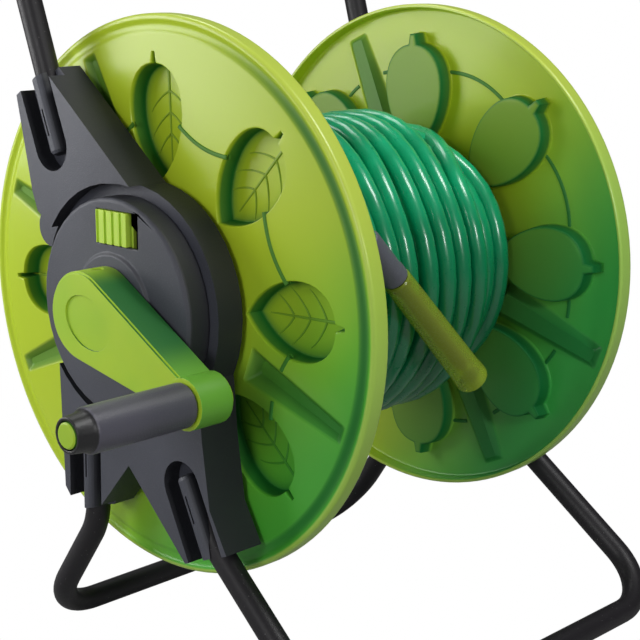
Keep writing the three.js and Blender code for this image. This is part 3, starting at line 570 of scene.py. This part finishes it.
# the lead curls from the nut inside the core out to the first layer
LEAD_RADIUS = 60.0
LEAD_X = 120.0
LEAD_SHIFT = 2.0                       # how far it moves along the axle on its way
LEAD_START = 19.9
LEAD_STEPS = 21
LEAD_SINK = math.sqrt((FIRST_LAYER - LEAD_RADIUS) ** 2 - LEAD_START ** 2)

# Where each turn of a layer lies along the axle, in the order that they were wound.
LAYER_TURNS = (
    [118 - 16.85 * i for i in range(15)],
    [-118, -102, -86, -69.5, -53, -36.5, -19.5, 1, 22.5, 41.5, 60.5, 79, 97, 114.5],
    [70, 51, 32, 13, -11, -28, -45, -61.5, -78, -94.5, -111],
)
CROSS_FROM, CROSS_TO = 88.0, 28.0      # where each turn steps over to the next one's place
STEPS_PER_TURN = 40
STRAY_ALONG, STRAY_OUT = 0.5, 0.35     # how far a turn strays from its place and its layer
TAIL_STEPS = 4


def lead_points():
    """From the nut on the elbow, round a small arc and out to the first layer."""
    last = 90 + math.degrees(math.atan2(LEAD_SINK, LEAD_START))
    for i in range(LEAD_STEPS + 1):
        angle = math.radians(last * i / LEAD_STEPS)
        yield Vector((
            LEAD_X - LEAD_SHIFT * i / LEAD_STEPS, -LEAD_START - LEAD_RADIUS * math.sin(angle),
            -LEAD_SINK + LEAD_RADIUS * math.cos(angle),
        ))


def hose_route():
    """The lead and every turn of the winding, from the nut outwards."""
    points = list(lead_points())
    start_angle = -math.degrees(math.atan2(LEAD_SINK, LEAD_START))
    turns = [
        (place, FIRST_LAYER + layer * LAYER_RISE)
        for layer, places in enumerate(LAYER_TURNS)
        for place in places
    ]
    step = 360 / STEPS_PER_TURN
    cross_length = CROSS_FROM - CROSS_TO
    angle = start_angle - step
    # turn k holds its place from CROSS_TO down to CROSS_FROM - 360, then crosses to turn k + 1
    while True:
        passed = CROSS_TO - angle
        index = int(passed // 360)
        into_turn = passed - 360 * index
        place, radius = turns[index]
        share = 0.0
        if into_turn > 360 - cross_length:
            if index + 1 >= len(turns):
                break
            share = smooth_step(360 - cross_length, 360, into_turn)
        if share:
            ahead = turns[index + 1]
            place += (ahead[0] - place) * share
            radius += (ahead[1] - radius) * share
        slow = math.radians(angle)
        place += STRAY_ALONG * math.sin(slow * 0.37) * math.sin(slow * 1.13)
        radius += STRAY_OUT * math.sin(slow * 0.61 + 1)
        points.append(round_the_axle(radius, angle, place))
        angle -= step
    return points


def curve_through(corners, samples):
    """A smooth line through given points."""
    ends = [2 * corners[0] - corners[1]] + list(corners) + [2 * corners[-1] - corners[-2]]
    points = []
    for a, b, c, d in zip(ends, ends[1:], ends[2:], ends[3:]):
        for i in range(samples):
            t = i / samples
            points.append(0.5 * (
                2 * b + (c - a) * t + (2 * a - 5 * b + 4 * c - d) * t ** 2
                + (3 * b - a - 3 * c + d) * t ** 3
            ))
    return points + [corners[-1]]


# the loose end comes off the last layer and runs straight into the connector
coil = hose_route()
TAIL = [Vector(place) for place in (
    (-117.5, -27.8, 125.6), (-116.9, -52, 119.5), (-115, -78, 110), (-111, -102, 98),
    (-103.5, -119, 83.5), (-94, -129.5, 69),
)]
TAIL += [CONNECTOR_START - NOZZLE_LINE * reach for reach in (8.0, 0.3)]
route = coil[:-1] + curve_through(coil[-2:] + TAIL, TAIL_STEPS)[TAIL_STEPS:]


def hose_curve(points):
    """One round line through the points."""
    data = bpy.data.curves.new("garden_hose", "CURVE")
    data.dimensions = "3D"
    data.bevel_depth = HOSE_RADIUS * 0.001
    data.bevel_resolution = 6
    data.use_fill_caps = True
    spline = data.splines.new("POLY")
    spline.points.add(len(points) - 1)
    for corner, point in zip(spline.points, points):
        corner.co = (*(TO_ROW @ point), 1.0)
    spline.use_smooth = True
    data.materials.append(HOSE)
    piece = bpy.data.objects.new("garden_hose", data)
    bpy.context.scene.collection.objects.link(piece)
    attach(piece, "drum")
    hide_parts("hose_winding", "hose_lead", "hose_tail")
    return piece


hose = hose_curve(route)
hose_length = sum((b - a).length for a, b in zip(route, route[1:])) * 0.001


# ------------------------------------------------------------------ flanges

FLANGE_FACE = 146.0
WALL = 3.0
HUB_BORE = 12.4

LEAF_ANGLES = [2 + 45 * i for i in range(8)]
LEAF_TIP, LEAF_END, STEM_END = 84, 166, 174       # distances from the axle
LEAF_HALF, STEM_HALF = 27, 2.25
LEAF_DEPTH = 14.0
LEAF_FLOOR = FLANGE_FACE - LEAF_DEPTH
# a cup's loops: how much wider than its wall, how deep and how dark, as painted shade
LEAF_STEPS = (
    (1.0, 0.0, 0.0), (0.4, 0.15, 0.0), (0.0, 0.8, 0.0), (-0.1, 1.8, 0.2), (-0.25, 4.0, 0.85),
    (-0.9, 12.3, 1.0), (-1.4, 13.5, 0.9), (-3.0, LEAF_DEPTH, 0.5), (-7.0, LEAF_DEPTH, 0.15),
    (-12.0, LEAF_DEPTH, 0.0),
)
# ridges on the leaf floors and faces: width and height
SPINE, VEIN, VINE = (3.0, 1.0), (2.0, 0.8), (3.6, 1.0)
# how dark the veins and vines are painted, as painted shade
VEIN_DARK, VINE_DARK = 0.45, 0.85
# side veins: where they leave the middle one, how far they reach and how much they lean
SIDE_VEINS = ((146, 19, 15), (131, 20, 20), (116, 15, 19))
VINE_REACH = 11.5                      # degrees to each side of the middle between two leaves
VINE_STEPS = 12
# the vines' radius in the middle between two leaves and how much further out they end
VINE_LINES = {-1: (119.5, 6.5), 1: (150.5, -2.5)}

CHANNEL_ANGLES = [114.5, 159.5, 204.5, 294.5, 339.5]
CHANNEL_START, CHANNEL_END = 92, 183.6
CHANNEL_HALF_START, CHANNEL_HALF_END = 13, 6.5
CHANNEL_CORNER = 2.2
CHANNEL_DEPTH, CHANNEL_RISE, CHANNEL_RUN = 9, 6, 95      # the floor rises 6 over a run of 95
# a channel's loops: share of its depth, how much wider and longer at each end, and how dark, as
# painted shade
CHANNEL_STEPS = (
    (0.0, 1.4, 1.4, 1.0, 0.0), (0.06, 0.5, 1.4, 1.0, 0.25), (0.2, 0.0, 0.0, 0.0, 0.6),
    (0.9, 0.0, 0.0, 0.0, 0.75), (1.0, 0.0, 0.0, 0.0, 0.75),
)

# the rim from the outer face over the groove and the lip to the inner face: radius, distance along
# the axle and how dark, as painted shade in the groove
RIM = (
    (185.5, 146, 0.1), (187, 145.8, 0.6), (188.4, 145.1, 0.85), (189.8, 144.4, 0.9),
    (191.6, 144.2, 0.85), (193.4, 144.5, 0.6), (194.8, 145.3, 0.2), (196.0, 145.9, 0.0),
    (197.4, 146, 0.0), (198.8, 145.5, 0.0), (199.7, 144.4, 0.0), (200, 142.6, 0.0),
    (200, 134.5, 0.0), (199.7, 133, 0.0), (198.8, 132.1, 0.0), (197.6, 132.1, 0.0),
    (196.8, 132.9, 0.0), (196.5, 134.2, 0.0), (196.4, 140.4, 0.1), (195.6, 142.2, 0.1),
    (193.8, 143, 0.0),
)
LIP = slice(8, 16)                     # the loops of the thin lip, painted paler as a painted glow
LIP_GLOW = 0.6


def leaf_outline(grow):
    """A pointed oval with its tip towards the axle and a short stem at its outer end."""
    tip, end = LEAF_TIP - 1.4 * grow, LEAF_END + grow
    half = (LEAF_HALF + grow) * 1.34
    stem = max(STEM_HALF + grow, 0.4)
    # each side is a cubic curve, cut where it has come in to the stem's width
    last = (1 + math.sqrt(1 - 4 * (stem + 0.8) / (3 * half))) / 2
    side = []
    count = 18
    for i in range(1, count + 1):
        t = last * i / count
        one = 1 - t
        along = (one ** 3 * tip + 3 * one ** 2 * t * (tip + 0.3 * (end - tip))
                 + 3 * one * t ** 2 * end + t ** 3 * end)
        across = 3 * half * one * t
        side.append((along, across))
    side.append((end + 0.2, stem))
    side.append((STEM_END + grow, stem * 0.6))
    return [(tip, 0.0)] + side + [(a, -b) for a, b in reversed(side)]


def rounded_bar(inner, outer, half_inner, half_outer):
    """A long tapered outline with rounded corners, for the stiffening channels."""
    points = []
    steps = 4
    corner = CHANNEL_CORNER
    for along, half, start in ((inner, half_inner, 180), (outer, half_outer, 90)):
        towards = 1 if along == inner else -1
        for i in range(steps + 1):
            angle = math.radians(start - 90 * i / steps)
            points.append((
                along + towards * corner + corner * math.cos(angle),
                half - corner + corner * math.sin(angle),
            ))
    return points + [(a, -b) for a, b in reversed(points)]


def channel_rings(bm, paint, degrees, side, grow, depth_start):
    """A shallow channel whose floor rises towards the rim."""
    rings = []
    for share, wider, inwards, outwards, dark in CHANNEL_STEPS:
        shrink = 1 - 0.62 * share
        outline = rounded_bar(
            CHANNEL_START - grow - inwards + 5 * share,
            CHANNEL_END + grow + outwards - 3 * share,
            CHANNEL_HALF_START * shrink + grow + wider,
            CHANNEL_HALF_END * shrink + grow + wider,
        )
        points = []
        for along, across in outline:
            full = CHANNEL_DEPTH - CHANNEL_RISE * (along - CHANNEL_START) / CHANNEL_RUN
            depth = depth_start + share * full
            points.append(on_spoke(along, across, degrees, side * (FLANGE_FACE - depth)))
        rings.append(ring(bm, points, paint, dark))
    skin(bm, rings)
    bmesh.ops.triangle_fill(bm, use_beauty=True, edges=rings[-1])
    return rings[0]


def leaf_rings(bm, paint, degrees, side, grow, depth_start):
    """A leaf-shaped cup, painted darker on its walls as painted shade. On the crank side its floor
    is painted darker towards the wall too, as painted shade.
    """
    shaded_floor = side < 0 and not grow
    rings = []
    for more, depth, dark in LEAF_STEPS if shaded_floor else LEAF_STEPS[:-2]:
        points = [
            on_spoke(along, across, degrees, side * (FLANGE_FACE - depth_start - depth))
            for along, across in leaf_outline(grow + more)
        ]
        rings.append(ring(bm, points, paint, dark))
    skin(bm, rings)
    flat_fill(bm, rings[-1:])
    return rings[0]


def circle(radius, x, steps=128):
    """Points round the axle."""
    return [round_the_axle(radius, 360 * i / steps, x) for i in range(steps)]


def bead(bm, paint, points, width, height, side, base, dark, outward=1, narrowing=0.55):
    """A low rounded ridge along a line that lies on a flat face."""
    heights = (-0.4, height * 0.75, height, height * 0.75, -0.4)
    spreads = (-1.0, -0.62, 0.0, 0.62, 1.0)
    rings = []
    last = len(points) - 1
    for k, point in enumerate(points):
        run = (points[min(k + 1, last)] - points[max(k - 1, 0)]).normalized()
        sideways = Vector((1, 0, 0)).cross(run)
        taper = 1 - narrowing * k / last
        outs = [side * (base + outward * rise * (1 if rise < 0 else taper)) for rise in heights]
        rings.append(ring(bm, [
            point + sideways * spread * width / 2 * taper + Vector((out, 0, 0))
            for spread, out in zip(spreads, outs)
        ], paint, dark))
    skin(bm, rings)
    for end in (rings[0], rings[-1]):
        bmesh.ops.edgeloop_fill(bm, edges=end)


def leaf_veins(bm, paint, degrees, side):
    """A middle vein and three pairs of side veins on the floor of a leaf."""
    spine = [on_spoke(94 + 70 * i / 8, 0.0, degrees) for i in reversed(range(9))]
    bead(bm, paint, spine, *SPINE, side, LEAF_FLOOR, VEIN_DARK)
    for along, reach, lean in SIDE_VEINS:
        for hand in (-1, 1):
            line = []
            for i in range(6):
                t = i / 5
                line.append(on_spoke(
                    along - lean * (t ** 1.2), hand * (0.8 + reach * (1 - (1 - t) ** 1.25)), degrees
                ))
            bead(bm, paint, line, *VEIN, side, LEAF_FLOOR, VEIN_DARK)


def vines(bm, paint, side):
    """Thin curved stalks that join each leaf to the next, on both faces."""
    radius, sag = VINE_LINES[side]
    stops = [VINE_REACH - 2 * VINE_REACH * i / VINE_STEPS for i in range(VINE_STEPS + 1)]
    for angle in LEAF_ANGLES:
        middle = angle + 22.5
        # a channel cuts the vine in two
        spans = (stops[:4], stops[-4:]) if middle in CHANNEL_ANGLES else (stops,)
        for place, outward in ((FLANGE_FACE, 1), (FLANGE_FACE - WALL, -1)):
            for span in spans:
                line = [
                    round_the_axle(radius + sag * (turn / VINE_REACH) ** 2, middle + turn)
                    for turn in span
                ]
                bead(bm, paint, line, *VINE, side, place, VINE_DARK, outward, 0.0)


def flange(side, name, material):
    """A thin moulding with leaf-shaped cups, channels and a rolled rim, the same wall all over."""
    bm = bmesh.new()
    # the wall and groove layers carry painted shade, the thin layer the lip's painted glow
    paint = bm.verts.layers.float.new("wall")
    groove = bm.verts.layers.float.new("groove")
    thin = bm.verts.layers.float.new("thin")
    outer_holes, inner_holes = [], []
    for angles, sunk in ((LEAF_ANGLES, leaf_rings), (CHANNEL_ANGLES, channel_rings)):
        for angle in angles:
            outer_holes.append(sunk(bm, paint, angle, side, 0.0, 0.0))
            inner_holes.append(sunk(bm, paint, angle, side, WALL, WALL))
    rim = [ring(bm, circle(radius, side * x), groove, dark) for radius, x, dark in RIM]
    for corner in {corner for loop in rim[LIP] for edge in loop for corner in edge.verts}:
        corner[thin] = LIP_GLOW
    skin(bm, rim)
    hub = [ring(bm, circle(HUB_BORE, side * x, 48)) for x in (FLANGE_FACE, FLANGE_FACE - WALL)]
    skin(bm, hub)
    flat_fill(bm, [rim[0], hub[0]] + outer_holes)
    flat_fill(bm, [rim[-1], hub[-1]] + inner_holes)
    for angle in LEAF_ANGLES:
        leaf_veins(bm, paint, angle, side)
    vines(bm, paint, side)
    piece = finish_piece(
        name, bm, "drum", material, (name.replace("lime_", ""),)
    )
    weigh_normals(piece)


flange(-1, "lime_flange_crank_side", LIME_NEAR)
flange(1, "lime_flange_inlet_side", LIME_FAR)


# ------------------------------------------------------------------ drum core, shafts and seals

SIDES = ("crank_side", "inlet_side")

for node, material, slot in (
    ("drum_core", GREY_CORE, "charcoal_plastic"), ("lock_ring", GREY_CORE, "charcoal_plastic"),
    ("drive_shaft", ACETAL, "white_acetal"), ("water_spindle", ACETAL, "white_acetal"),
    ("outlet_elbow", GREY_CORE, "charcoal_plastic"),
    ("hose_inner_nut", LIME_BUTTON, "lime_plastic"), ("crank_screw", ZINC, "zinc_steel"),
):
    cad_copy(node, "soft_" + node, "drum", material, 0.5, 2)
for side in SIDES:
    cad_copy("bush_" + side, "soft_bush_" + side, "frame", ACETAL, 0.4, 2)
for node in ("spindle_seal_1", "spindle_seal_2"):
    cad_copy(node, "soft_" + node, frame["nodes"][node]["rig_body"], RUBBER, 0.4, 2)


# ------------------------------------------------------------------ tubes

TUBE_RADIUS = 9.0
TUBE_WALL = 1.2
TUBE_SIDES = 28
BEND_RADIUS = 44.0
BEND_STEPS = 14
FOOT = TUBE_RADIUS - 271               # the axle is 271 above the floor
# corners of half of each loop, from its end at a bracket to where the other half mirrors it
TUBES = {
    "handle": ((168, 78.3, 105.6), (173, 117, 232), (173, 130, 330)),
    "front_leg": ((168, -53.5, -116), (172, -78, -156), (183, -211, FOOT)),
    "rear_leg": ((168, 50, -106), (172, 50, -172), (174, 112, FOOT)),
}


def bent_line(corners):
    """Points and headings along straight runs joined by bends."""
    stations = [(corners[0], (corners[1] - corners[0]).normalized())]
    for a, b, c in zip(corners, corners[1:], corners[2:]):
        before, after = (b - a).normalized(), (c - b).normalized()
        angle = before.angle(after)
        start = b - before * BEND_RADIUS * math.tan(angle / 2)
        axis = before.cross(after).normalized()
        inward = axis.cross(before)
        centre = start + inward * BEND_RADIUS
        for k in range(BEND_STEPS + 1):
            turn_by = Matrix.Rotation(angle * k / BEND_STEPS, 3, axis)
            stations.append((centre - turn_by @ (inward * BEND_RADIUS), turn_by @ before))
    stations.append((corners[-1], (corners[-1] - corners[-2]).normalized()))
    return stations


def tube(name, line):
    """A bent tube, open at its ends."""
    corners = [Vector((-x, y, z)) for x, y, z in line] + [Vector(point) for point in reversed(line)]
    bm = bmesh.new()
    side = None
    outside, bore = [], []
    for place, heading in bent_line(corners):
        if side is None:
            side = Vector((1, 0, 0)).cross(heading).normalized()
        side = (side - heading * side.dot(heading)).normalized()
        other = heading.cross(side)
        for radius, rings in ((TUBE_RADIUS, outside), (TUBE_RADIUS - TUBE_WALL, bore)):
            rings.append(ring(bm, [
                place + side * radius * math.cos(math.tau * i / TUBE_SIDES)
                + other * radius * math.sin(math.tau * i / TUBE_SIDES) for i in range(TUBE_SIDES)
            ]))
    skin(bm, outside)
    skin(bm, bore)
    for end in (0, -1):
        bmesh.ops.bridge_loops(bm, edges=outside[end] + bore[end])
    finish_piece("bent_" + name, bm, "frame", STEEL, (name + "_tube",))


for name, line in TUBES.items():
    tube(name, line)
    for side in SIDES:
        node = f"{name}_screw_{side}"
        cad_copy(node, "soft_" + node, "frame", ZINC, 0.5, 2)


# ------------------------------------------------------------------ brackets, covers and lock

for side in SIDES:
    for node, width, segments in (("bracket_" + side, 0.7, 2), ("hub_cover_" + side, 1.6, 3)):
        cad_copy(node, "moulded_" + node, "frame", GREY, width, segments)
cad_copy("lock_button", "ridged_lock_button", "lock", LIME_BUTTON, 0.5, 2)


# ------------------------------------------------------------------ crank and grip

cad_copy("crank_arm", "moulded_crank_arm", "drum", LIME_CRANK, 1.6, 3)
cad_copy("grip_sleeve", "turned_grip", "grip", GREY_GRIP, 0.8, 3)


# ------------------------------------------------------------------ hose end and nozzle

cad_copy("hose_end_connector", "moulded_connector", "drum", GREY_END, 0.8, 3)
cad_copy("nozzle_core", "nozzle_stem", frame["nodes"]["nozzle_core"]["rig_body"], NOZZLE_CORE,
         0.5, 2)
cad_copy("nozzle_sleeve", "nozzle_barrel", "nozzle", LIME_SLEEVE, 0.8, 3)


# ------------------------------------------------------------------ water inlet

cad_copy("inlet_elbow", "moulded_inlet_elbow", "frame", GREY, 1.0, 3)
cad_copy("inlet_nipple", "moulded_inlet_nipple", "frame", LIME_BUTTON, 0.5, 2)

TO_ROW @ route[0]


# ------------------------------------------------------------------ floor, backdrop and lights

AMBIENT = 0.1                          # how bright the backdrop is to rays that light the model


def pale_floor():
    """White to the camera, and grey to the light that bounces off it."""
    finish = Finish("pale_floor")
    finish.set(Base_Color=(0.35, 0.35, 0.35, 1.0), Roughness=0.9)
    white = finish.node("ShaderNodeEmission", {}, {"Color": (1, 1, 1, 1), "Strength": 1.0})
    seen, mirrored = finish.rays("Is Camera Ray"), finish.rays("Is Glossy Ray")
    share = (seen + 0.05 * mirrored + finish.rays("Is Transmission Ray")).clamped()
    finish.ends_in(finish.mix(share, finish.main(), white))
    return finish.material


floor_bm = bmesh.new()
bmesh.ops.create_grid(floor_bm, x_segments=1, y_segments=1, size=20.0)
floor_mesh = bpy.data.meshes.new("studio_floor")
floor_bm.to_mesh(floor_mesh)
floor_bm.free()
floor_mesh.materials.append(pale_floor())
studio_floor = bpy.data.objects.new("studio_floor", floor_mesh)
bpy.context.scene.collection.objects.link(studio_floor)

world = bpy.data.worlds.new("studio")
bpy.context.scene.world = world
world.use_nodes = True
backdrop = Nodes(world.node_tree)
seen = (backdrop.rays("Is Camera Ray") + backdrop.rays("Is Transmission Ray")).clamped()
sky = world.node_tree.nodes["Background"]
backdrop.link(sky.inputs["Color"], (1, 1, 1, 1))
backdrop.link(sky.inputs["Strength"], seen * (1 - AMBIENT) + AMBIENT)


def softbox(name, place, size, power, aim=(0.0, 0.0, 0.25)):
    """A rectangular lamp at a place, turned to what it lights."""
    data = bpy.data.lights.new(name, "AREA")
    data.shape = "RECTANGLE"
    data.size, data.size_y = size
    data.energy = power
    lamp = bpy.data.objects.new(name, data)
    lamp.location = place
    lamp.rotation_euler = (Vector(aim) - Vector(place)).to_track_quat("-Z", "Y").to_euler()
    bpy.context.scene.collection.objects.link(lamp)


softbox("key", (-0.55, 0.62, 0.55), (0.4, 0.6), 5.0, (-0.1, 0.0, 0.33))
softbox("crank_side", (-2.2, -0.6, 0.9), (0.8, 0.8), 16)
softbox("overhead", (0.1, -0.5, 1.25), (0.03, 0.35), 1.0)
softbox("top_front", (0.3, -0.8, 1.7), (0.5, 0.5), 11)
softbox("front", (-0.4, -1.8, 0.9), (0.3, 0.3), 8)
softbox("back_top", (0.35, 0.7, 1.5), (0.5, 0.5), 4)

bpy.context.scene.view_settings.view_transform = "Standard"
